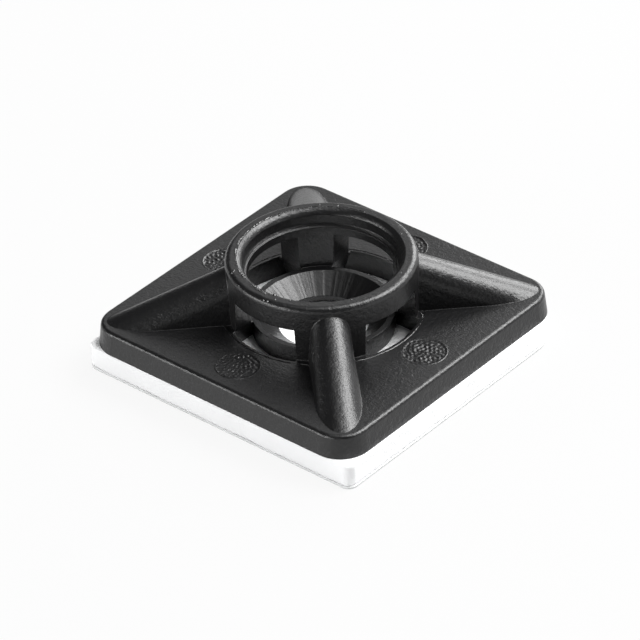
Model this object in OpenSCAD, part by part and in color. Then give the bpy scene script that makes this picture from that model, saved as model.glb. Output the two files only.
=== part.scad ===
// Four-way cable tie mount: a square moulded base with a windowed ring, held by a foam
// pad or by a countersunk screw. A tie goes in through any window, under the ring, and out
// through another window or up through the ring's mouth.
// Units are millimetres, +Z is up, and the origin is at the middle of the liner's underside.
// The windows face along X and Y, and the ribs run to the corners.

/* [Base plate] */
// Side of the square base at its underside
base_w = 20; // [19:0.1:24]
// Thickness of the base plate
base_t = 1.48; // [1.3:0.02:2]
// How far each side leans in from the underside up to the top face
base_lean = 0.18; // [0.06:0.02:0.3]
// Radius of the base's corners in plan, at the underside
base_corner_r = 1.95; // [1.4:0.05:2.6]
// Radius of the rounded edge round the top face
base_edge_r = 0.25; // [0.1:0.05:0.4]

/* [Ring] */
// Outside diameter of the ring
ring_d = 11.4; // [11:0.1:12]
// Height of the rim above the base's underside
ring_h = 5.15; // [4.95:0.05:6]
// Diameter of the ring's mouth, above the ledge
mouth_d = 9.3; // [9.1:0.1:9.9]
// Diameter inside the pillars, below the ledge
bore_d = 8.88; // [8.76:0.02:9]
// Height of the ledge above the base's underside
ledge_z = 4.08; // [3.8:0.02:4.2]
// Width of the ledge's flat
ledge_flat = 0.09; // [0.04:0.01:0.12]
// Height of the slope behind the flat
ledge_h = 0.16; // [0.1:0.02:0.3]
// Radius of the ledge's lip
lip_r = 0.04; // [0.02:0.01:0.06]
// Radius of the rim's outer edge
rim_outer_r = 0.35; // [0.1:0.01:0.4]
// Width of the curved bevel round the mouth
bevel_w = 0.32; // [0.2:0.02:0.36]
// Height of the bevel
bevel_h = 0.34; // [0.2:0.02:0.4]
// Radius of the bevel's curve
bevel_r = 0.7; // [0.5:0.05:2]

/* [Tie windows] */
// Height of the windows' top edge above the base's underside
window_z = 3.55; // [3.2:0.05:3.7]
// Width of a window at its top edge
window_w = 4.54; // [4:0.05:4.8]
// Width of a window level with the base's top face
sill_w = 4.7; // [4.4:0.05:5]
// Width of a slot at the base's underside
slot_w = 5.6; // [5:0.05:5.8]
// Gap between the ring's outer face and the slots' outer wall
slot_gap = 0.19; // [0.1:0.01:0.3]
// How far the slots' curved walls lean back towards the underside
slot_lean = 0.06; // [0.02:0.01:0.1]

/* [Screw seat] */
// How far the seat's edge lies inside the pillars' inner face
seat_step = 0.12; // [0.04:0.02:0.3]
// Height of the seat's top above the base's underside
seat_z = 1.3; // [1:0.05:1.4]
// Diameter of the countersink's mouth
sink_d = 8; // [7:0.1:8.2]
// Diameter of the screw hole
screw_d = 5.4; // [4:0.1:6]
// Length of the screw hole's straight wall
screw_wall = 0.3; // [0.2:0.05:0.5]

/* [Ribs] */
// Width of a rib where its sides meet the base
rib_w = 2.67; // [2:0.05:2.9]
// Lean of a rib's sides, in degrees
rib_draft = 5.5; // [3:0.5:8]
// Height of a rib's ridge above the base's underside, at the ring
rib_h = 4.58; // [3.8:0.05:4.7]
// Gap between a rib's tip and the top corner of the base
rib_gap = 0.35; // [0.3:0.05:1]

/* [Round marks] */
// Diameter of a round mark in the base's top face
mark_d = 2.65; // [1.8:0.05:2.8]
// Depth of a round mark
mark_depth = 0.05; // [0.02:0.01:0.1]
// Distance from the side of the base to a mark's middle
mark_inset = 2.3; // [1.9:0.05:2.4]

/* [Foam pad] */
// How far the pad stands out past the base's underside, on each side
pad_over = 0.1; // [0:0.05:0.3]
// Thickness of the foam pad with its adhesive
pad_t = 1.45; // [0.8:0.05:2]
// Radius of the pad's corners in plan
pad_corner_r = 0.6; // [0.2:0.1:2]

/* [Release liner] */
// Thickness of the paper liner under the pad
liner_t = 0.15; // [0.08:0.01:0.25]

/* [Hidden] */
$fn = 96;
quarters = [0, 90, 180, 270];
over = 0.1;                                  // how far a cutter runs past the face it opens
lap = 0.004;                                 // how far two blended surfaces cross

pad_z = liner_t;
pad_w = base_w + 2 * pad_over;
base_z = pad_z + pad_t;
corner_at = base_w / 2 - base_corner_r;      // middle of each corner's curve, along X and Y
top_half = base_w / 2 - base_lean;           // half the width of the top face, edge to edge
mark_at = base_w / 2 - mark_inset;

ring_r = ring_d / 2;
bore_r = bore_d / 2;
mouth_r = mouth_d / 2;
seat_r = bore_r - seat_step;
slot_r = ring_r + slot_gap;

// A rib is a tapered round bar that leans on two drafted flanks. The bar's taper follows
// from the lean of its ridge and the draft, so that the flanks run into it without an edge.
rib_reach = corner_at * sqrt(2) + base_corner_r - base_lean - rib_gap;
ridge_tilt = atan((rib_h - base_t) / (rib_reach - ring_r));
bar_taper = atan(sin(rib_draft) * sin(ridge_tilt) / (1 - sin(rib_draft) * cos(ridge_tilt)));
bar_tilt = ridge_tilt + bar_taper;
flank_reach = rib_w / 2 * cos(rib_draft);    // square distance from the bar's axis to a flank
bar_r = flank_reach / cos(bar_taper);        // the bar's radius where its axis meets the base
bar_x = rib_reach - flank_reach / sin(ridge_tilt);
bar_root_x = bore_r + (ring_r - bore_r) / 3; // the bar's upper end lies inside the pillar
bar_up = (bar_x - bar_root_x) / cos(bar_tilt);
bar_down = rib_reach - bar_x;

// Cutter for an outside edge of radius r, in the corner whose two sides are tangent to it
module edge_cutter(r) {
    difference() {
        square(r + over);
        circle(r);
    }
}

// Section of the base's rim: the height over the distance out from a corner's middle
module rim_section() {
    side_tilt = atan(base_lean / base_t);
    top_x = base_corner_r - base_lean;
    // distance from the sloping side's top corner back to where the round edge starts
    back = base_edge_r * tan((90 - side_tilt) / 2);
    difference() {
        polygon([[0, 0], [base_corner_r, 0], [top_x, base_t], [0, base_t]]);
        difference() {
            polygon([
                [top_x - back, base_t], [top_x - back, base_t + over],
                [top_x + over, base_t + over],
                [top_x + back * sin(side_tilt) + over, base_t - back * cos(side_tilt)],
                [top_x + back * sin(side_tilt), base_t - back * cos(side_tilt)],
                [top_x - back, base_t - base_edge_r]
            ]);
            translate([top_x - back, base_t - base_edge_r]) circle(base_edge_r);
        }
    }
}

// Square plate with leaning sides, round corners and a round top edge
module plate() {
    translate([-corner_at, -corner_at]) cube([2 * corner_at, 2 * corner_at, base_t]);
    for (turn = quarters) rotate(turn) {
        translate([corner_at, corner_at]) rotate_extrude(angle = 90) rim_section();
        translate([corner_at, corner_at]) rotate([90, 0, 0]) linear_extrude(2 * corner_at) rim_section();
    }
}

// The ring with its four pillars, before the windows are cut
module ring_blank() {
    rotate_extrude() difference() {
        square([ring_r, ring_h]);
        translate([ring_r - rim_outer_r, ring_h - rim_outer_r]) edge_cutter(rim_outer_r);
    }
}

// Section of the space above the bevel: its curve bulges towards the axis from the chord
// between the wall of the mouth and the rim's top
module bevel_section() {
    chord = sqrt(pow(bevel_w, 2) + pow(bevel_h, 2));
    depth = sqrt(pow(bevel_r, 2) - pow(chord / 2, 2));
    difference() {
        polygon([
            [mouth_r - over, ring_h - bevel_h], [mouth_r, ring_h - bevel_h], [mouth_r + bevel_w, ring_h],
            [mouth_r + bevel_w, ring_h + over], [mouth_r - over, ring_h + over]
        ]);
        translate([
            mouth_r + bevel_w / 2 + depth * bevel_h / chord,
            ring_h - bevel_h / 2 - depth * bevel_w / chord
        ]) circle(bevel_r);
    }
}

// Space inside the ring: the pillars' inner face, the ledge with its lip, the mouth and its bevel
module ring_space() {
    rotate_extrude() {
        polygon([
            [0, seat_z], [bore_r, seat_z], [bore_r, ledge_z], [bore_r + ledge_flat, ledge_z],
            [mouth_r, ledge_z + ledge_h], [mouth_r, ring_h + over], [0, ring_h + over]
        ]);
        translate([bore_r + lip_r, ledge_z - lip_r]) mirror([1, 0]) edge_cutter(lip_r);
        bevel_section();
    }
}

// Countersink and hole for the screw
module screw_space() {
    translate([0, 0, -over]) cylinder(h = screw_wall + 2 * over, d = screw_d);
    sink_h = seat_z - screw_wall;
    sink_grow = (sink_d - screw_d) / 2 / sink_h;
    translate([0, 0, screw_wall])
        cylinder(h = sink_h + over, r1 = screw_d / 2, r2 = sink_d / 2 + sink_grow * over);
}

// One slot with its window, along +X: parallel in plan, and wider towards the underside
module tie_slot() {
    intersection() {
        rotate([90, 0, 90]) linear_extrude(slot_r + over) polygon([
            [-slot_w / 2, 0], [-slot_w / 2, -over], [slot_w / 2, -over], [slot_w / 2, 0],
            [sill_w / 2, base_t], [window_w / 2, window_z], [-window_w / 2, window_z], [-sill_w / 2, base_t]
        ]);
        rotate_extrude() polygon([
            [seat_r - slot_lean, -over], [slot_r + slot_lean, -over], [slot_r, base_t],
            [slot_r, window_z + over], [seat_r, window_z + over], [seat_r, seat_z]
        ]);
    }
}

// Straight-sided wedge under the bar, from the pillar down to the base
module rib_flanks() {
    tilt_fall = tan(bar_tilt);
    root_z = base_t + (bar_x - bar_root_x) * tilt_fall;
    root_lift = (flank_reach - (root_z - base_t) * sin(rib_draft)) * sin(rib_draft);
    foot_lift = flank_reach * sin(rib_draft);
    half = rib_w / 2 - lap;
    rise = ring_h - base_t;
    intersection() {
        translate([0, rib_w, 0]) rotate([90, 0, 0]) linear_extrude(2 * rib_w) polygon([
            [bar_root_x, base_t - over], [bar_x + 2 * over, base_t - over],
            [bar_x, base_t + foot_lift], [bar_root_x, root_z + root_lift]
        ]);
        translate([bore_r, 0, base_t]) rotate([90, 0, 90]) linear_extrude(rib_reach) polygon([
            [-half - over * tan(rib_draft), -over], [half + over * tan(rib_draft), -over],
            [half - rise * tan(rib_draft), rise], [-half + rise * tan(rib_draft), rise]
        ]);
    }
}

// One rib along +X, from inside a pillar out to its tip near the corner
module rib() {
    rib_flanks();
    intersection() {
        translate([bar_x, 0, base_t]) rotate([0, 90 + bar_tilt, 0]) translate([0, 0, -bar_up])
            cylinder(
                h = bar_up + bar_down,
                r1 = bar_r - bar_up * tan(bar_taper),
                r2 = bar_r + bar_down * tan(bar_taper)
            );
        translate([0, -rib_w, base_t - over]) cube([rib_reach + 1, 2 * rib_w, ring_h]);
    }
}

// One moulding: plate, ring on pillars, ribs, screw seat, windows and slots
module moulded_base() {
    color([0.13, 0.13, 0.14]) translate([0, 0, base_z]) difference() {
        union() {
            plate();
            ring_blank();
            for (turn = quarters) rotate(turn + 45) rib();
        }
        ring_space();
        screw_space();
        for (turn = quarters) rotate(turn) {
            tie_slot();
            translate([mark_at, 0, base_t - mark_depth]) cylinder(h = mark_depth + over, d = mark_d);
        }
    }
}

// Square sheet with round corners
module sheet(w, t, r) {
    linear_extrude(t) {
        square([w, w - 2 * r], center = true);
        square([w - 2 * r, w], center = true);
        for (x = [-1, 1], y = [-1, 1]) translate([x * (w / 2 - r), y * (w / 2 - r)]) circle(r);
    }
}

// Double-sided foam pad, with no hole under the screw
module foam_pad() {
    color([0.95, 0.95, 0.95]) translate([0, 0, pad_z]) sheet(pad_w, pad_t, pad_corner_r);
}

// Paper sheet that covers the lower adhesive face until the mount is used
module release_liner() {
    color([0.88, 0.88, 0.86]) sheet(pad_w, liner_t, pad_corner_r);
}

moulded_base();
foam_pad();
release_liner();
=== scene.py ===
"""Looks of a cable tie mount: black moulded base, white foam pad and paper liner.

Run as a script inside Blender. Every length in the code is in metres. The mount's own frame has
+Z up, its origin at the middle of the liner's underside, and its windows facing along X and Y.
"""

import math

import bpy
import numpy as np
from mathutils import Matrix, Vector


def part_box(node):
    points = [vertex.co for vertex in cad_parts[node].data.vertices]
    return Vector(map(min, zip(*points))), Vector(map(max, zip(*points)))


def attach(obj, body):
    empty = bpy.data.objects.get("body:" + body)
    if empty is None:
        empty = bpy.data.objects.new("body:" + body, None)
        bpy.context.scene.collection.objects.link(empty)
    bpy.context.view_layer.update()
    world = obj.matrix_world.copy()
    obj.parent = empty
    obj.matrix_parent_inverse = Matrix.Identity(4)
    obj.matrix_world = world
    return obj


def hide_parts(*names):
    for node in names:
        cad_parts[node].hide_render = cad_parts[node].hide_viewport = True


bl_info = {
    "name": "Cable Tie Mount",
    "version": (1, 0, 0),
    "blender": (4, 5, 0),
    "location": "3D View > Sidebar > Tie Mount",
    "description": "Dresses a moulded cable tie mount with its foam pad, its liner and a pale studio",
    "category": "Object",
}

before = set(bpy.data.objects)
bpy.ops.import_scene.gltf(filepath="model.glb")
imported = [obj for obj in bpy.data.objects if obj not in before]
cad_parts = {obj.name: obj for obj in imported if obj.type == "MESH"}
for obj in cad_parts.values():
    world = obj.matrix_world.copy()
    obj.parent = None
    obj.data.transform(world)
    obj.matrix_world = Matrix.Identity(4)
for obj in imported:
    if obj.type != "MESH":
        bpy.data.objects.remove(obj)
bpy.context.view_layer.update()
BASE_LOW, BASE_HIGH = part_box("moulded_base")
FOAM_LOW, FOAM_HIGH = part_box("foam_pad")
LINER_LOW, LINER_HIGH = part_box("release_liner")

MM = 0.001
BODY = "root"
PLATE_THICKNESS = 1.48 * MM
PLATE_TOP = BASE_LOW.z + PLATE_THICKNESS
RIM_TOP = BASE_HIGH.z

# how far inside their edge the faces of the pad and the liner are quite flat
FLAT_EDGE = 0.3 * MM

# the rim is flat out to this radius, and round from there
RIM_FLAT = 5.50 * MM
RIM_ROUND = 0.35 * MM

# stretches of the flash round the mouth: from and to an angle, and how high
RIM_RUNS = (
    (166.0, 186.0, 1.0),
    (188.0, 207.0, 1.0),
    (211.0, 225.0, 1.0),
    (235.0, 247.0, 0.6),
    (256.0, 269.0, 0.8),
    (100.0, 160.0, 0.35),
)

# how rough each round mark is, from the +X one round
MARK_STRENGTHS = (0.9, 0.9, 0.85, 0.66)

# round marks: how far the rough face lies below the plate, how far the piece reaches past the
# mark's edge and down into the plate, and how wide the lip is and how far it drops outside
MARK_SUNK = 0.022 * MM
MARK_REACH = 0.11 * MM
MARK_FOOT = 0.12 * MM
LIP_WIDTH = 0.05 * MM
LIP_DROP = 0.03 * MM

# screw seat: the radius and the height that its radial streaks end at
SEAT_RADIUS = 4.0 * MM
SEAT_TOP = BASE_LOW.z + 1.32 * MM

# outer edge of the slots at the top of the plate
SLOT_RADIUS = 6.04 * MM
SLOT_WIDTH = 4.5 * MM

# section of the flash, from the side of the middle outwards: shares of its half width and height
FLASH_ACROSS = np.array([-1.0, -0.85, 0.3, 0.55, 1.0])
FLASH_UP = np.array([0.0, 0.06, 1.0, 0.9, 0.0])

# how far the flash is sunk into the face it stands on, and how far its foot lies below that face
FLASH_SUNK = 0.012 * MM
FLASH_FOOT = 0.09 * MM

# axis of the small flakes of nylon: about 36 degrees from upright, towards +X
BURR_AXIS = np.array([0.59, -0.03, 0.81])

# flakes of nylon on the rim: angle in degrees, distance from the middle and size in millimetres
RIM_BURRS = (
    (230.1, 5.00, 0.07),
    (236.3, 5.31, 0.08),
    (237.6, 5.40, 0.06),
    (239.0, 5.50, 0.07),
    (237.6, 4.98, 0.06),
    (241.0, 4.98, 0.06),
    (244.0, 4.99, 0.08),
    (252.2, 5.68, 0.05),
    (257.5, 4.98, 0.06),
    (259.7, 5.00, 0.08),
    (262.0, 5.02, 0.08),
    (264.2, 5.04, 0.09),
    (267.3, 5.06, 0.08),
    (270.5, 5.10, 0.06),
    (273.0, 4.95, 0.06),
    (276.6, 4.90, 0.09),
    (274.0, 5.68, 0.08),
    (276.6, 5.66, 0.08),
    (280.0, 5.30, 0.06),
    (289.0, 5.02, 0.06),
    (160.3, 4.90, 0.06),
    (150.0, 5.00, 0.05),
    (136.8, 5.00, 0.06),
    (131.0, 5.20, 0.05),
    (118.8, 5.15, 0.06),
    (98.9, 5.00, 0.05),
    (62.0, 5.10, 0.05),
    (15.0, 5.15, 0.05),
    (330.0, 5.10, 0.05),
)

# flakes of nylon at the end of the +X slot: x, y and size in millimetres
SLOT_BURRS = (
    (5.10, 2.91, 0.05),
    (5.17, 2.87, 0.06),
    (5.26, 2.81, 0.07),
    (5.36, 2.74, 0.06),
    (5.44, 2.64, 0.065),
    (5.50, 2.54, 0.05),
    (5.57, 2.41, 0.05),
)

# half the side of the floor, and how far it lies below the liner, so that their faces don't meet
FLOOR_REACH = 1.5
FLOOR_DROP = 0.01 * MM

# softboxes: name, azimuth from +X towards +Y and elevation in degrees, width and height in metres
SOFTBOXES = (
    ("key", 54.0, 46.0, 0.25, 0.19),
    ("high", 42.0, 66.0, 0.36, 0.15),
    ("low", 64.0, 17.0, 0.22, 0.24),
    ("side", 100.0, 23.0, 0.16, 0.24),
    ("back", 134.0, 34.0, 0.20, 0.26),
    ("top", 320.0, 82.0, 0.26, 0.22),
    ("front", 248.0, 9.0, 0.44, 0.11),
    ("right", 10.0, 12.0, 0.18, 0.17),
)
SOFTBOX_DISTANCE = 0.40


# ---------------------------------------------------------------------------
# Sizes and colours


class MouldingSettings(bpy.types.PropertyGroup):
    """Finish of the black moulding"""

    nylon_colour: bpy.props.FloatVectorProperty(
        name="Nylon",
        description="Colour of the moulded nylon",
        subtype="COLOR",
        size=3,
        min=0.0,
        max=1.0,
        default=(0.0048, 0.0048, 0.0051),
    )
    nylon_roughness: bpy.props.FloatProperty(
        name="Roughness",
        description="Roughness of the moulded skin",
        default=0.34,
        min=0.05,
        max=1.0,
        subtype="FACTOR",
    )
    grain_height: bpy.props.FloatProperty(
        name="Grain height",
        description="Height of the fine grain left by the mould",
        default=0.0125 * MM,
        min=0.0,
        unit="LENGTH",
        precision=6,
    )
    edge_radius: bpy.props.FloatProperty(
        name="Edge radius",
        description="Radius at which the moulding's sharp edges catch the light",
        default=0.08 * MM,
        min=0.0,
        unit="LENGTH",
        precision=6,
    )


class FlashSettings(bpy.types.PropertyGroup):
    """Flash left round the mouth of the ring and along the slots"""

    radius: bpy.props.FloatProperty(
        name="Radius",
        description="Radius of the line of flash",
        default=5.04 * MM,
        min=4.7 * MM,
        max=5.4 * MM,
        unit="LENGTH",
        precision=6,
    )
    height: bpy.props.FloatProperty(
        name="Height",
        description="Greatest height of the flash above the rim",
        default=0.09 * MM,
        min=0.0,
        unit="LENGTH",
        precision=6,
    )
    width: bpy.props.FloatProperty(
        name="Width",
        description="Width of the flash at its foot",
        default=0.17 * MM,
        min=0.01 * MM,
        unit="LENGTH",
        precision=6,
    )
    slot_height: bpy.props.FloatProperty(
        name="Slot height",
        description="Height of the flash along the outer edges of the slots",
        default=0.06 * MM,
        min=0.0,
        unit="LENGTH",
        precision=6,
    )
    slot_width: bpy.props.FloatProperty(
        name="Slot width",
        description="Width of the flash along the outer edges of the slots",
        default=0.11 * MM,
        min=0.01 * MM,
        unit="LENGTH",
        precision=6,
    )


class MarkSettings(bpy.types.PropertyGroup):
    """Rough round marks in the plate, one outside each window"""

    diameter: bpy.props.FloatProperty(
        name="Diameter",
        description="Diameter of a round mark",
        default=2.65 * MM,
        min=1.0 * MM,
        unit="LENGTH",
        precision=6,
    )
    distance: bpy.props.FloatProperty(
        name="Distance",
        description="Distance from the middle of the mount to the middle of a mark",
        default=7.7 * MM,
        min=6.5 * MM,
        max=8.0 * MM,
        unit="LENGTH",
        precision=6,
    )
    stipple_height: bpy.props.FloatProperty(
        name="Stipple height",
        description="Height of the rough stipple in a mark",
        default=0.027 * MM,
        min=0.0,
        unit="LENGTH",
        precision=6,
    )
    stipple_length: bpy.props.FloatProperty(
        name="Stipple size",
        description="Distance from one bump of the stipple to the next",
        default=0.27 * MM,
        min=0.05 * MM,
        unit="LENGTH",
        precision=6,
    )
    lip_height: bpy.props.FloatProperty(
        name="Lip height",
        description="Height of the lip round a mark, where it is highest",
        default=0.045 * MM,
        min=0.0,
        unit="LENGTH",
        precision=6,
    )


class PadSettings(bpy.types.PropertyGroup):
    """Foam pad and its liner"""

    foam_colour: bpy.props.FloatVectorProperty(
        name="Foam",
        description="Colour of the foam",
        subtype="COLOR",
        size=3,
        min=0.0,
        max=1.0,
        default=(0.86, 0.865, 0.87),
    )
    liner_colour: bpy.props.FloatVectorProperty(
        name="Liner",
        description="Colour of the paper liner",
        subtype="COLOR",
        size=3,
        min=0.0,
        max=1.0,
        default=(0.72, 0.73, 0.73),
    )
    pad_shift: bpy.props.FloatVectorProperty(
        name="Shift",
        description="How far the pad was stuck off the middle of the base",
        size=2,
        unit="LENGTH",
        precision=6,
        default=(0.14 * MM, 0.13 * MM),
    )
    bare_depth: bpy.props.FloatProperty(
        name="Bare depth",
        description="How far the foam lies lower under the screw hole",
        default=0.18 * MM,
        min=0.0,
        max=0.5 * MM,
        unit="LENGTH",
        precision=6,
    )
    cut_waviness: bpy.props.FloatProperty(
        name="Cut waviness",
        description="How far the cut sides of the foam wander",
        default=0.02 * MM,
        min=0.0,
        unit="LENGTH",
        precision=6,
    )


class StudioSettings(bpy.types.PropertyGroup):
    """Floor, light and camera"""

    floor_colour: bpy.props.FloatVectorProperty(
        name="Floor",
        description="Colour of the floor",
        subtype="COLOR",
        size=3,
        min=0.0,
        max=1.0,
        default=(0.42, 0.42, 0.42),
    )
    sky_level: bpy.props.FloatProperty(
        name="Room level",
        description="Brightness of the room round the mount",
        default=0.05,
        min=0.0,
    )
    key_level: bpy.props.FloatProperty(
        name="Key level",
        description="Brightness of the main softbox, on the right of the mount",
        default=14.0,
        min=0.0,
    )
    high_level: bpy.props.FloatProperty(
        name="High level",
        description="Brightness of the softbox above the key",
        default=6.5,
        min=0.0,
    )
    low_level: bpy.props.FloatProperty(
        name="Low level",
        description="Brightness of the softbox below the key",
        default=1.2,
        min=0.0,
    )
    side_level: bpy.props.FloatProperty(
        name="Side level",
        description="Brightness of the softbox behind the mount on the right",
        default=8.5,
        min=0.0,
    )
    back_level: bpy.props.FloatProperty(
        name="Back level",
        description="Brightness of the softbox straight across from the camera",
        default=0.8,
        min=0.0,
    )
    top_level: bpy.props.FloatProperty(
        name="Top level",
        description="Brightness of the softbox almost straight above the mount",
        default=1.6,
        min=0.0,
    )
    front_level: bpy.props.FloatProperty(
        name="Front level",
        description="Brightness of the long low softbox on the left of the mount",
        default=9.9,
        min=0.0,
    )
    right_level: bpy.props.FloatProperty(
        name="Right level",
        description="Brightness of the small low softbox on the +X side",
        default=1.3,
        min=0.0,
    )
    floor_white: bpy.props.FloatProperty(
        name="Floor white",
        description="Share of plain white in the floor as it is seen; the rest shows the shadow",
        default=0.90,
        min=0.0,
        max=1.0,
        subtype="FACTOR",
    )
    camera_azimuth: bpy.props.FloatProperty(
        name="Camera azimuth",
        description="Angle of the camera round the mount, from -Y towards +X",
        default=math.radians(41.2),
        subtype="ANGLE",
    )
    camera_elevation: bpy.props.FloatProperty(
        name="Camera elevation",
        description="Angle of the camera above the floor",
        default=math.radians(34.94),
        subtype="ANGLE",
    )
    camera_roll: bpy.props.FloatProperty(
        name="Camera roll",
        description="Turn of the camera about its own line of sight",
        default=math.radians(-2.142),
        subtype="ANGLE",
    )
    camera_distance: bpy.props.FloatProperty(
        name="Camera distance",
        description="Distance of the camera from the middle of the mount",
        default=268.07 * MM,
        unit="LENGTH",
        precision=6,
    )
    camera_lens: bpy.props.FloatProperty(
        name="Lens",
        description="Focal length in millimetres on a 36 mm sensor",
        default=253.5,
        min=10.0,
    )
    camera_offset: bpy.props.FloatVectorProperty(
        name="Camera offset",
        description="How far the camera stands right of and above the line through the middle",
        size=2,
        unit="LENGTH",
        precision=6,
        default=(-0.278 * MM, 1.661 * MM),
    )


# ---------------------------------------------------------------------------
# Shared mesh and material helpers


def grid_faces(rows, columns, closed_columns):
    """Quads of a grid of points: each joins a point to the next row and the next column."""
    row = np.arange(rows - 1)[:, None] * columns
    last = columns if closed_columns else columns - 1
    column = np.arange(last)[None, :]
    following = (column + 1) % columns
    corners = (row + column, row + following, row + columns + following, row + columns + column)
    return np.stack(corners, axis=-1).reshape(-1, 4)


def capped(rings, low, high):
    """Closed surface through rings of points, with a fan to a point below the first ring and one
    above the last. The rings run anticlockwise seen from above, so the faces point outwards."""
    levels, columns = rings.shape[:2]
    points = np.concatenate([rings.reshape(-1, 3), [low, high]])
    here = np.arange(columns)
    following = (here + 1) % columns
    bottom = np.full(columns, levels * columns)
    last = (levels - 1) * columns
    low_fan = np.stack([bottom, following, here], axis=1)
    high_fan = np.stack([bottom + 1, last + here, last + following], axis=1)
    return points, [*grid_faces(levels, columns, True).tolist(), *low_fan.tolist(), *high_fan.tolist()]


def joined(parts):
    """One list of points and faces from several."""
    points, faces, start = [], [], 0
    for part_points, part_faces in parts:
        points.append(part_points)
        faces += [[corner + start for corner in face] for face in part_faces]
        start += len(part_points)
    return np.concatenate(points), faces


def waves(position, count, longest, shortest, seed):
    """Sum of sine waves of random length and phase, between -1 and 1 for the most part."""
    draw = np.random.default_rng(seed)
    length = np.exp(draw.uniform(math.log(shortest), math.log(longest), count))
    phase = draw.uniform(0.0, 2 * math.pi, count)
    return np.sin(position[..., None] * 2 * math.pi / length + phase).sum(-1) / math.sqrt(count)


def add_piece(name, points, faces, material):
    """New smooth object of the mount: points in metres in the mount's frame, faces as corner
    numbers."""
    mesh = bpy.data.meshes.new(name)
    corners = np.asarray(points, float).reshape(-1, 3).tolist()
    mesh.from_pydata(corners, [], [list(map(int, face)) for face in faces])
    mesh.validate()
    mesh.polygons.foreach_set("use_smooth", np.full(len(mesh.polygons), True))
    mesh.materials.append(material)
    piece = bpy.data.objects.new(name, mesh)
    bpy.context.scene.collection.objects.link(piece)
    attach(piece, BODY)
    return piece


class Nodes:
    """A material's node tree, with a short way to add a node, set its sockets and link it."""

    def __init__(self, name):
        self.material = bpy.data.materials.new(name)
        self.material.use_nodes = True
        self.tree = self.material.node_tree
        self.tree.nodes.clear()

    def add(self, kind, **settings):
        """Adds a node and sets its own properties by name."""
        node = self.tree.nodes.new(kind)
        for key, value in settings.items():
            setattr(node, key, value)
        return node

    def put(self, node, **inputs):
        """Sets input sockets: spaces in a socket's name are written as underscores."""
        for key, value in inputs.items():
            socket = node.inputs[key.replace("_", " ")]
            if isinstance(value, bpy.types.NodeSocket):
                self.tree.links.new(value, socket)
            else:
                socket.default_value = value
        return node

    def math(self, operation, first, second=0.0):
        """One arithmetic step on numbers or sockets."""
        node = self.add("ShaderNodeMath", operation=operation)
        for socket, value in zip(node.inputs, (first, second)):
            if isinstance(value, bpy.types.NodeSocket):
                self.tree.links.new(value, socket)
            else:
                socket.default_value = value
        return node.outputs[0]

    def noise(self, vector, scale, detail=2.0, roughness=0.5):
        """Noise that reads a vector in metres, at so many cells a metre."""
        node = self.add("ShaderNodeTexNoise")
        self.put(node, Vector=vector, Scale=scale, Detail=detail, Roughness=roughness)
        return node.outputs["Fac"]

    def ramp(self, value, low, high, low_out=0.0, high_out=1.0):
        """Smooth step of a value from low to high."""
        node = self.add("ShaderNodeMapRange", interpolation_type="SMOOTHSTEP")
        self.put(node, Value=value, From_Min=low, From_Max=high, To_Min=low_out, To_Max=high_out)
        return node.outputs["Result"]

    def finish(self, shader):
        """Ends the tree in a surface."""
        output = self.add("ShaderNodeOutputMaterial")
        self.tree.links.new(shader, output.inputs["Surface"])
        return self.material


# ---------------------------------------------------------------------------
# Black moulding


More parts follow.
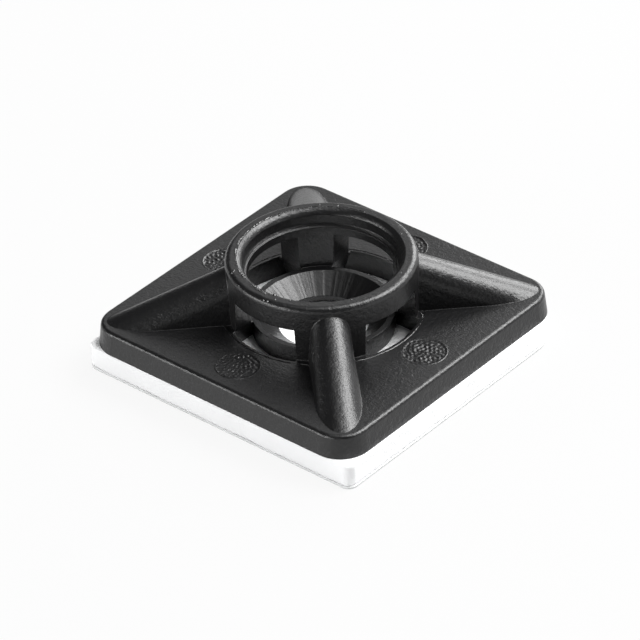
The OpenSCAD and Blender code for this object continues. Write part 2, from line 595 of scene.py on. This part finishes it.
def nylon_material(name, settings, edge_radius, polish=0.0):
    """Black nylon: fine mould grain, a slow change of gloss and radial streaks in the screw seat.

    Sharp edges are shaded as if rounded by the edge radius; with none they are left as they are.
    Polish takes that share off the grain's height and off the roughness."""
    n = Nodes(name)
    place = n.add("ShaderNodeTexCoord").outputs["Object"]
    grain = n.noise(place, scale=9000.0, roughness=0.6)
    pebble = n.noise(place, scale=3600.0, roughness=0.6)
    mottle = n.noise(place, scale=1400.0, detail=3.0, roughness=0.55)
    cloud = n.noise(place, scale=260.0)

    split = n.add("ShaderNodeSeparateXYZ")
    n.put(split, Vector=place)
    x, y, z = split.outputs
    radius = n.math("SQRT", n.math("ADD", n.math("MULTIPLY", x, x), n.math("MULTIPLY", y, y)))
    # the streaks keep one direction outwards: they read only the direction from the middle
    around = n.add("ShaderNodeCombineXYZ")
    n.put(around, X=n.math("DIVIDE", x, radius), Y=n.math("DIVIDE", y, radius))
    streak = n.noise(around.outputs["Vector"], scale=7.0)
    in_seat = n.math(
        "MULTIPLY",
        n.ramp(radius, SEAT_RADIUS - 0.05 * MM, SEAT_RADIUS + 0.05 * MM, 1.0, 0.0),
        n.ramp(z, SEAT_TOP - 0.03 * MM, SEAT_TOP + 0.03 * MM, 1.0, 0.0),
    )
    streaked = n.math("MULTIPLY", streak, in_seat)

    # heights of the layers as multiples of the grain height
    grain_share, pebble_share, mottle_share, streak_share = 1.2, 2.4, 1.6, 5.0
    height = n.math(
        "ADD", n.math("MULTIPLY", grain, grain_share), n.math("MULTIPLY", pebble, pebble_share)
    )
    height = n.math("ADD", height, n.math("MULTIPLY", mottle, mottle_share))
    # the seat is smoother than the rest but for its streaks
    smoothing = n.math("MULTIPLY", in_seat, 0.55)
    height = n.math("MULTIPLY", height, n.math("SUBTRACT", 1.0, smoothing))
    height = n.math("ADD", height, n.math("MULTIPLY", streaked, streak_share))
    bump = n.add("ShaderNodeBump")
    n.put(bump, Strength=1.0, Distance=(1 - polish) * settings.grain_height, Height=height)
    if edge_radius > 0:
        rounded = n.add("ShaderNodeBevel", samples=8)
        n.put(rounded, Radius=edge_radius)
        n.put(bump, Normal=rounded.outputs["Normal"])

    # the gloss wanders by this much with the mottle and the cloud
    spread = 0.05
    roughness = n.math(
        "ADD",
        (1 - polish) * settings.nylon_roughness - spread,
        n.math("MULTIPLY", n.math("ADD", mottle, cloud), spread),
    )
    shader = n.add("ShaderNodeBsdfPrincipled")
    n.put(
        shader,
        Base_Color=(*settings.nylon_colour, 1.0),
        Roughness=roughness,
        IOR=1.5,
        Normal=bump.outputs["Normal"],
    )
    return n.finish(shader.outputs["BSDF"])


class MOUNT_OT_moulding(bpy.types.Operator):
    """Gives the moulded base its black nylon"""

    bl_idname = "tie_mount.moulding"
    bl_label = "Finish Moulding"

    def execute(self, context):
        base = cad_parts["moulded_base"]
        settings = context.scene.tie_mount_moulding
        nylon = nylon_material("black_nylon", settings, settings.edge_radius)
        base.data.materials.clear()
        base.data.materials.append(nylon)
        return {"FINISHED"}


def ripples(x, y, length, count, seed):
    """Rough field over a plane: the sum of cosine waves of one length (varied by a fifth) that run
    in random directions from random starts, scaled to about -1 to 1."""
    draw = np.random.default_rng(seed)
    heading = draw.uniform(0.0, 2 * math.pi, count)
    number = 2 * math.pi / (length * draw.uniform(0.8, 1.2, count))
    start = draw.uniform(0.0, 2 * math.pi, count)
    along = x[..., None] * np.cos(heading) + y[..., None] * np.sin(heading)
    return np.cos(number * along + start).sum(-1) / math.sqrt(count)


def smooth_step(value, low, high):
    """0 below low, 1 above high, and 3t^2 - 2t^3 of the share t between."""
    share = np.clip((value - low) / (high - low), 0.0, 1.0)
    return share * share * (3 - 2 * share)


def ridge(angle, radius, half_width, height, floor_z, gentle_side, closed):
    """Ridge of flash along an arc about the middle. Its section has a gentle slope on one side,
    the middle's (-1) or the far one (1), and a steep drop on the other. A closed ridge goes all
    the way round, and an open one ends in a point at each end."""
    across, up = FLASH_ACROSS, FLASH_UP
    if gentle_side > 0:
        across, up = -across[::-1], up[::-1]
    r = radius[:, None] + half_width[:, None] * across
    lift = height[:, None] * up - FLASH_SUNK
    lift[:, [0, -1]] = -FLASH_FOOT
    spin = angle[:, None]
    rings = np.stack([r * np.cos(spin), r * np.sin(spin), floor_z + lift], axis=-1)
    if not closed:
        return capped(rings, rings[0].mean(0), rings[-1].mean(0))
    turns, columns = rings.shape[:2]
    # the last turn leads back to the first
    faces = grid_faces(turns + 1, columns, True) % (turns * columns)
    return rings.reshape(-1, 3), faces.tolist()


def rim_ridge(settings):
    """Flash round the mouth: high along the rim's runs, with ragged gaps, and almost nothing in
    between."""
    turns = 2160
    # height between the runs and lowest height in them, as shares; degrees that a run's end takes
    between, lowest, fade = 0.12, 0.3, 1.0
    degrees = np.arange(turns) * (360.0 / turns)
    angle = np.radians(degrees)
    arc = angle * settings.radius
    coarse = waves(arc, 16, 5 * MM, 0.9 * MM, 11)
    fine = waves(arc, 24, 0.9 * MM, 0.16 * MM, 12)
    envelope = np.full(turns, between)
    for start, end, level in RIM_RUNS:
        rise = smooth_step(degrees, start - fade, start + fade)
        fall = smooth_step(degrees, end - fade, end + fade)
        envelope = np.maximum(envelope, level * (rise - fall))
    ragged = smooth_step(0.5 + 0.30 * coarse + 0.34 * fine, 0.0, 0.45)
    share = envelope * (lowest + (1 - lowest) * ragged)
    height = settings.height * share
    radius = settings.radius + 0.022 * MM * coarse + 0.010 * MM * fine
    # low flash is narrower, down to this share of the full width
    narrowest = 0.55
    half_width = settings.width / 2 * (narrowest + (1 - narrowest) * share)
    return ridge(angle, radius, half_width, height, RIM_TOP, -1, True)


def slot_ridge(settings, towards, seed):
    """Thin flash along the outer edge of one slot and a little way past its ends."""
    # radians that the flash runs past the slot's ends, and that it takes to rise from them
    past_end, fade = 0.2, 0.04
    half_angle = math.asin(SLOT_WIDTH / 2 / SLOT_RADIUS) + past_end
    angle = towards + np.linspace(-half_angle, half_angle, 240)
    arc = angle * SLOT_RADIUS
    rough = 0.65 + 0.3 * waves(arc, 16, 3 * MM, 0.3 * MM, seed)
    ends = smooth_step(half_angle - np.abs(angle - towards), 0.0, fade)
    height = FLASH_SUNK + settings.slot_height * np.clip(rough, 0.2, 1.2) * ends
    half_width = np.full(len(angle), settings.slot_width / 2)
    return ridge(angle, SLOT_RADIUS + half_width, half_width, height, PLATE_TOP, 1, False)


def burr(place, size, seed):
    """Small flake of nylon, sunk to its waist: rings of uneven radius from pole to pole, about an
    axis that strays a little from the one that all flakes share."""
    rings, turns = 5, 12
    # half its thickness, as a share of its size
    thickness = 0.35
    draw = np.random.default_rng(seed)
    axis = BURR_AXIS + 0.12 * draw.normal(size=3)
    axis /= np.linalg.norm(axis)
    side = np.cross([0.0, 1.0, 0.0], axis)
    side /= np.linalg.norm(side)
    along = np.cross(axis, side)
    tilt = np.linspace(-math.pi / 2, math.pi / 2, rings + 2)[1:-1, None, None]
    angle = (np.arange(turns) * (2 * math.pi / turns))[None, :, None]
    uneven = 1 + 0.15 * draw.normal(size=(rings, turns, 1))
    ring = np.cos(tilt) ** 0.4 * uneven * (np.cos(angle) * side + np.sin(angle) * along)
    offsets = size * (ring + thickness * np.sin(tilt) * axis)
    pole = thickness * size * axis
    return capped(place + offsets, place - pole, place + pole)


class MOUNT_OT_flash(bpy.types.Operator):
    """Makes the flash round the mouth of the ring and along the slots"""

    bl_idname = "tie_mount.flash"
    bl_label = "Make Flash"

    def execute(self, context):
        nylon = nylon_material("black_nylon_flash", context.scene.tie_mount_moulding, 0.0, 0.75)
        settings = context.scene.tie_mount_flash
        parts = [rim_ridge(settings)]
        for k, (angle, distance, size) in enumerate(RIM_BURRS):
            turn, radius = math.radians(angle), distance * MM
            # past the flat of the rim its outer edge falls away in a quarter circle
            past = max(radius - RIM_FLAT, 0.0)
            fall = RIM_ROUND - math.sqrt(RIM_ROUND**2 - past**2)
            place = np.array([math.cos(turn) * radius, math.sin(turn) * radius, RIM_TOP - fall])
            parts.append(burr(place, size * MM, 60 + k))
        points, faces = joined(parts)
        add_piece("rim_flash", points, faces, nylon)
        parts = [slot_ridge(settings, k * math.pi / 2, 80 + k) for k in range(4)]
        for k, (x, y, size) in enumerate(SLOT_BURRS):
            parts.append(burr(np.array([x * MM, y * MM, PLATE_TOP]), size * MM, 90 + k))
        points, faces = joined(parts)
        add_piece("slot_flash", points, faces, nylon)
        return {"FINISHED"}


def round_mark(settings, outwards, strength, seed):
    """Rough disc that fills a round recess of the plate, on a grid of radius and angle.

    Its face is the recess's floor plus rough ripples. Near the edge it climbs to a low uneven lip,
    highest on the side that faces outwards, and then drops below the plate."""
    rings, turns = 46, 168
    edge = settings.diameter / 2
    reach = edge + MARK_REACH
    # the grid's rings leave out the middle point, which closes the face as a fan
    r = np.linspace(0.0, 1.0, rings + 1)[1:, None] * reach
    angle = np.arange(turns)[None, :] * (2 * math.pi / turns)
    x, y = r * np.cos(angle), r * np.sin(angle)
    rough = ripples(x, y, settings.stipple_length, 48, seed)
    slow = ripples(x, y, 4 * settings.stipple_length, 12, seed + 1)
    lean = 0.5 + 0.5 * np.cos(angle - outwards)
    uneven = np.clip(0.75 + 0.35 * waves(angle * edge, 10, 2.5 * MM, 0.4 * MM, seed + 2), 0.1, 1.4)
    lip = settings.lip_height * (0.1 + 0.9 * lean**3) * uneven
    inside = 1 - smooth_step(r, edge - 0.16 * MM, edge - 0.02 * MM)
    stipple = strength * settings.stipple_height * (0.75 * rough + 0.35 * slow)
    crest = np.exp(-(((r - edge - 0.01 * MM) / LIP_WIDTH) ** 2))
    drop = smooth_step(r, edge + 0.02 * MM, reach) * LIP_DROP
    z = PLATE_TOP + inside * (stipple - MARK_SUNK) + lip * crest - drop
    face = np.stack(np.broadcast_arrays(x, y, z), axis=-1)
    # a flat underside inside the plate, then the face's rings from the outer one inwards
    under_z = PLATE_TOP - MARK_FOOT
    under = np.stack([x[-1], y[-1], np.full(turns, under_z)], axis=-1)
    rings = np.concatenate([under[None], face[::-1]])
    middle_z = face[0, :, 2].mean()
    return capped(rings, [0.0, 0.0, under_z], [0.0, 0.0, middle_z])


class MOUNT_OT_marks(bpy.types.Operator):
    """Makes the four rough round marks in the plate"""

    bl_idname = "tie_mount.marks"
    bl_label = "Make Round Marks"

    def execute(self, context):
        settings = context.scene.tie_mount_marks
        nylon = nylon_material("black_nylon_marks", context.scene.tie_mount_moulding, 0.0)
        parts = []
        for k, strength in enumerate(MARK_STRENGTHS):
            outwards = k * math.pi / 2
            middle = settings.distance * np.array([math.cos(outwards), math.sin(outwards), 0.0])
            points, faces = round_mark(settings, outwards, strength, 30 + 5 * k)
            parts.append((points + middle, faces))
        points, faces = joined(parts)
        add_piece("round_marks", points, faces, nylon)
        return {"FINISHED"}


# ---------------------------------------------------------------------------
# Foam pad and liner


def rounded_square(half, corner_radii, side_points, corner_points):
    """Outline of a square with four round corners, anticlockwise from the +X+Y corner.

    Each corner is a quarter circle about a point one radius in from both sides, and each side is
    a straight run from one quarter circle to the next. Returns the points and outward normals."""
    turns = np.radians([0.0, 90.0, 180.0, 270.0])
    arcs, normals = [], []
    for turn, radius in zip(turns, corner_radii):
        angle = turn + np.linspace(0.0, math.pi / 2, corner_points)
        diagonal = turn + math.pi / 4
        signs = np.sign([math.cos(diagonal), math.sin(diagonal)])
        direction = np.stack([np.cos(angle), np.sin(angle)], axis=1)
        arcs.append(signs * (half - radius) + radius * direction)
        normals.append(direction)
    points, out = [], []
    share = np.linspace(0.0, 1.0, side_points + 2)[1:-1, None]
    for k in range(4):
        start, end = arcs[k][-1], arcs[(k + 1) % 4][0]
        points += [arcs[k], start + (end - start) * share]
        out += [normals[k], np.repeat(normals[k][-1:], side_points, axis=0)]
    return np.concatenate(points), np.concatenate(out)


def slab(outline, normals, levels, insets, middle, dents=()):
    """Closed sheet: rings of the outline, each at its own height and moved inwards by its inset,
    then closed by a fan to the middle at the bottom and at the top.

    A ring of its own a little inside the edge keeps the shading of the flat faces flat. The dents
    are circles about the origin, each with a radius and a height, inside the top ring."""
    levels = np.concatenate([levels[:1], levels, levels[-1:]])
    insets = np.concatenate([insets[:1] + FLAT_EDGE, insets, insets[-1:] + FLAT_EDGE])
    rings = outline[None] - insets[..., None] * normals[None]
    heights = np.broadcast_to(levels[:, None, None], (len(levels), len(outline), 1))
    rings = np.concatenate([rings, heights], axis=2)
    outwards = outline / np.linalg.norm(outline, axis=1)[:, None]
    for radius, height in dents:
        circle = np.column_stack([radius * outwards, np.full(len(outline), height)])
        rings = np.concatenate([rings, circle[None]])
    top_z = rings[-1, 0, 2]
    return capped(rings, [*middle, levels[0]], [0.0, 0.0, top_z] if dents else [*middle, top_z])


def foam_material(settings):
    """White closed-cell foam with small cells."""
    n = Nodes("white_foam")
    place = n.add("ShaderNodeTexCoord").outputs["Object"]
    cells = n.add("ShaderNodeTexVoronoi", feature="F1")
    n.put(cells, Vector=place, Scale=9000.0)
    soft = n.noise(place, 1800.0, 3.0)
    height = n.math("ADD", cells.outputs["Distance"], n.math("MULTIPLY", soft, 1.5))
    bump = n.add("ShaderNodeBump")
    n.put(bump, Strength=1.0, Distance=0.006 * MM, Height=height)
    shader = n.add("ShaderNodeBsdfPrincipled")
    n.put(
        shader,
        Base_Color=(*settings.foam_colour, 1.0),
        Roughness=0.85,
        IOR=1.4,
        Normal=bump.outputs["Normal"],
    )
    return n.finish(shader.outputs["BSDF"])


def liner_material(settings):
    """Smooth coated paper."""
    n = Nodes("liner_paper")
    place = n.add("ShaderNodeTexCoord").outputs["Object"]
    fibre = n.noise(place, 5000.0, 4.0, 0.6)
    bump = n.add("ShaderNodeBump")
    n.put(bump, Strength=1.0, Distance=0.004 * MM, Height=fibre)
    shader = n.add("ShaderNodeBsdfPrincipled")
    n.put(
        shader,
        Base_Color=(*settings.liner_colour, 1.0),
        Roughness=0.55,
        Normal=bump.outputs["Normal"],
    )
    return n.finish(shader.outputs["BSDF"])


class MOUNT_OT_pad(bpy.types.Operator):
    """Makes the foam pad and the liner below it"""

    bl_idname = "tie_mount.pad"
    bl_label = "Make Pad and Liner"

    def execute(self, context):
        settings = context.scene.tie_mount_pad
        shift = np.array(settings.pad_shift)
        half = (FOAM_HIGH.x - FOAM_LOW.x) / 2
        # the pad's corners, from the +X+Y one round: it was cut rounder on that one
        radii = np.array([2.8, 0.9, 0.6, 0.6]) * MM
        outline, normals = rounded_square(half, radii, 60, 14)
        run = np.arange(len(outline)) * (8 * half / len(outline))

        low, high = FOAM_LOW.z, FOAM_HIGH.z
        share = np.linspace(0.0, 1.0, 15)
        levels = low + (high - low) * share
        # the cut sides are round at both edges and a little hollow in between
        edge = 0.05 * MM * np.exp(-np.minimum(share, 1 - share) * 30.0)
        belly = 0.03 * MM * np.sin(share * math.pi)
        # the waves lean: they move along the side as they climb it
        leaning_run = run[None, :] + levels[:, None] * 0.6
        wander = settings.cut_waviness * waves(leaning_run, 14, 7 * MM, 1.6 * MM, 4)
        insets = edge[:, None] + belly[:, None] + wander
        # the foam lies lower where the screw hole leaves it bare
        sunk = high - settings.bare_depth
        dents = [(3.5 * MM, high), (3.1 * MM, sunk), (0.3 * MM, sunk)]
        points, faces = slab(outline + shift, normals, levels, insets, shift, dents)
        foam = add_piece("foam_pad_cut", points, faces, foam_material(settings))
        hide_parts("foam_pad")

        levels = np.array([0.0, 0.02, 0.5, 0.98, 1.0]) * (LINER_HIGH.z - LINER_LOW.z) + LINER_LOW.z
        insets = np.array([0.02, 0.0, 0.0, 0.0, 0.02])[:, None] * MM * np.ones(len(outline))
        points, faces = slab(outline + shift, normals, levels, insets, shift)
        liner = add_piece("liner_sheet", points, faces, liner_material(settings))
        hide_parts("release_liner")
        return {"FINISHED"}


# ---------------------------------------------------------------------------
# Studio


def floor_material(settings):
    """Pale floor: seen directly or in a reflection it is mostly plain white, so that only a soft
    shadow shows."""
    n = Nodes("studio_floor")
    path = n.add("ShaderNodeLightPath")
    direct = n.math("MAXIMUM", path.outputs["Is Camera Ray"], path.outputs["Is Glossy Ray"])
    seen = n.math("MAXIMUM", direct, path.outputs["Is Transmission Ray"])
    plain = n.add("ShaderNodeBsdfDiffuse")
    n.put(plain, Color=(*settings.floor_colour, 1.0))
    glow = n.add("ShaderNodeEmission")
    n.put(glow, Color=(1.0, 1.0, 1.0, 1.0), Strength=1.0)
    mix = n.add("ShaderNodeMixShader")
    n.put(mix, Fac=n.math("MULTIPLY", seen, settings.floor_white))
    n.tree.links.new(plain.outputs[0], mix.inputs[1])
    n.tree.links.new(glow.outputs[0], mix.inputs[2])
    return n.finish(mix.outputs[0])


def room_world(settings):
    """Even room light, white where the camera sees it."""
    world = bpy.data.worlds.new("studio_room")
    world.use_nodes = True
    tree = world.node_tree
    tree.nodes.clear()
    seen = tree.nodes.new("ShaderNodeLightPath")
    room = tree.nodes.new("ShaderNodeBackground")
    room.inputs["Strength"].default_value = settings.sky_level
    white = tree.nodes.new("ShaderNodeBackground")
    white.inputs["Strength"].default_value = 1.0
    mix = tree.nodes.new("ShaderNodeMixShader")
    output = tree.nodes.new("ShaderNodeOutputWorld")
    tree.links.new(seen.outputs["Is Camera Ray"], mix.inputs[0])
    tree.links.new(room.outputs[0], mix.inputs[1])
    tree.links.new(white.outputs[0], mix.inputs[2])
    tree.links.new(mix.outputs[0], output.inputs["Surface"])
    return world


def softbox(name, azimuth, elevation, width, height, level):
    """Panel of light that faces the mount. Azimuth is measured from +X towards +Y, in degrees.

    An area lamp's power is its brightness times pi times its area."""
    lamp = bpy.data.lights.new(name, "AREA")
    lamp.shape = "RECTANGLE"
    lamp.size = width
    lamp.size_y = height
    lamp.energy = level * math.pi * width * height
    panel = bpy.data.objects.new(name, lamp)
    a, e = math.radians(azimuth), math.radians(elevation)
    away = np.array([math.cos(a) * math.cos(e), math.sin(a) * math.cos(e), math.sin(e)])
    side = np.array([-math.sin(a), math.cos(a), 0.0])
    up = np.cross(away, side)
    place = np.eye(4)
    place[:3, 0], place[:3, 1], place[:3, 2] = side, up, away
    place[:3, 3] = away * SOFTBOX_DISTANCE
    panel.matrix_world = Matrix(place.tolist())
    bpy.context.scene.collection.objects.link(panel)


def add_camera(settings):
    """Camera that looks along its own back direction. Its right and up directions are turned by
    the roll, and its place is the distance back plus the offset along right and up."""
    a, e, roll = settings.camera_azimuth, settings.camera_elevation, settings.camera_roll
    back = np.array([math.sin(a) * math.cos(e), -math.cos(a) * math.cos(e), math.sin(e)])
    level_right = np.array([math.cos(a), math.sin(a), 0.0])
    level_up = np.cross(back, level_right)
    right = math.cos(roll) * level_right + math.sin(roll) * level_up
    up = math.cos(roll) * level_up - math.sin(roll) * level_right
    place = np.eye(4)
    place[:3, 0], place[:3, 1], place[:3, 2] = right, up, back
    offset = settings.camera_offset
    place[:3, 3] = right * offset[0] + up * offset[1] + back * settings.camera_distance
    data = bpy.data.cameras.new("studio_camera")
    data.sensor_width = 36.0
    data.lens = settings.camera_lens
    data.clip_start = 0.01
    camera = bpy.data.objects.new("studio_camera", data)
    camera.matrix_world = Matrix(place.tolist())
    bpy.context.scene.collection.objects.link(camera)
    bpy.context.scene.camera = camera


class MOUNT_OT_studio(bpy.types.Operator):
    """Makes the pale floor, the lights and the camera"""

    bl_idname = "tie_mount.studio"
    bl_label = "Make Studio"

    def execute(self, context):
        settings = context.scene.tie_mount_studio
        context.scene.view_settings.view_transform = "Standard"
        corners = np.array([[-1, -1, 0], [1, -1, 0], [1, 1, 0], [-1, 1, 0]]) * FLOOR_REACH
        corners[:, 2] = LINER_LOW.z - FLOOR_DROP
        mesh = bpy.data.meshes.new("studio_floor")
        mesh.from_pydata(corners.tolist(), [], [(0, 1, 2, 3)])
        mesh.materials.append(floor_material(settings))
        floor = bpy.data.objects.new("studio_floor", mesh)
        context.scene.collection.objects.link(floor)
        context.scene.world = room_world(settings)
        for name, azimuth, elevation, width, height in SOFTBOXES:
            level = getattr(settings, f"{name}_level")
            softbox(f"{name}_softbox", azimuth, elevation, width, height, level)
        add_camera(settings)
        return {"FINISHED"}


# ---------------------------------------------------------------------------
# Panel, registration and the run


class MOUNT_PT_panel(bpy.types.Panel):
    """Buttons and settings of the mount"""

    bl_label = "Cable Tie Mount"
    bl_idname = "MOUNT_PT_panel"
    bl_space_type = "VIEW_3D"
    bl_region_type = "UI"
    bl_category = "Tie Mount"

    def draw(self, context):
        for label, name, operators in SECTIONS:
            box = self.layout.box()
            box.label(text=label)
            settings = getattr(context.scene, name)
            for key in settings.__annotations__:
                box.prop(settings, key)
            for operator in operators:
                box.operator(operator)


SETTINGS = {
    "tie_mount_moulding": MouldingSettings,
    "tie_mount_flash": FlashSettings,
    "tie_mount_marks": MarkSettings,
    "tie_mount_pad": PadSettings,
    "tie_mount_studio": StudioSettings,
}
SECTIONS = (
    ("Moulding", "tie_mount_moulding", ("tie_mount.moulding",)),
    ("Flash", "tie_mount_flash", ("tie_mount.flash",)),
    ("Round marks", "tie_mount_marks", ("tie_mount.marks",)),
    ("Pad", "tie_mount_pad", ("tie_mount.pad",)),
    ("Studio", "tie_mount_studio", ("tie_mount.studio",)),
)
CLASSES = (
    MouldingSettings,
    FlashSettings,
    MarkSettings,
    PadSettings,
    StudioSettings,
    MOUNT_OT_moulding,
    MOUNT_OT_flash,
    MOUNT_OT_marks,
    MOUNT_OT_pad,
    MOUNT_OT_studio,
    MOUNT_PT_panel,
)


def register():
    for item in CLASSES:
        bpy.utils.register_class(item)
    for name, group in SETTINGS.items():
        setattr(bpy.types.Scene, name, bpy.props.PointerProperty(type=group))


def unregister():
    for name in SETTINGS:
        delattr(bpy.types.Scene, name)
    for item in reversed(CLASSES):
        bpy.utils.unregister_class(item)


def main():
    register()
    bpy.ops.tie_mount.studio()
    bpy.ops.tie_mount.moulding()
    bpy.ops.tie_mount.flash()
    bpy.ops.tie_mount.marks()
    bpy.ops.tie_mount.pad()


if __name__ == "__main__":
    main()
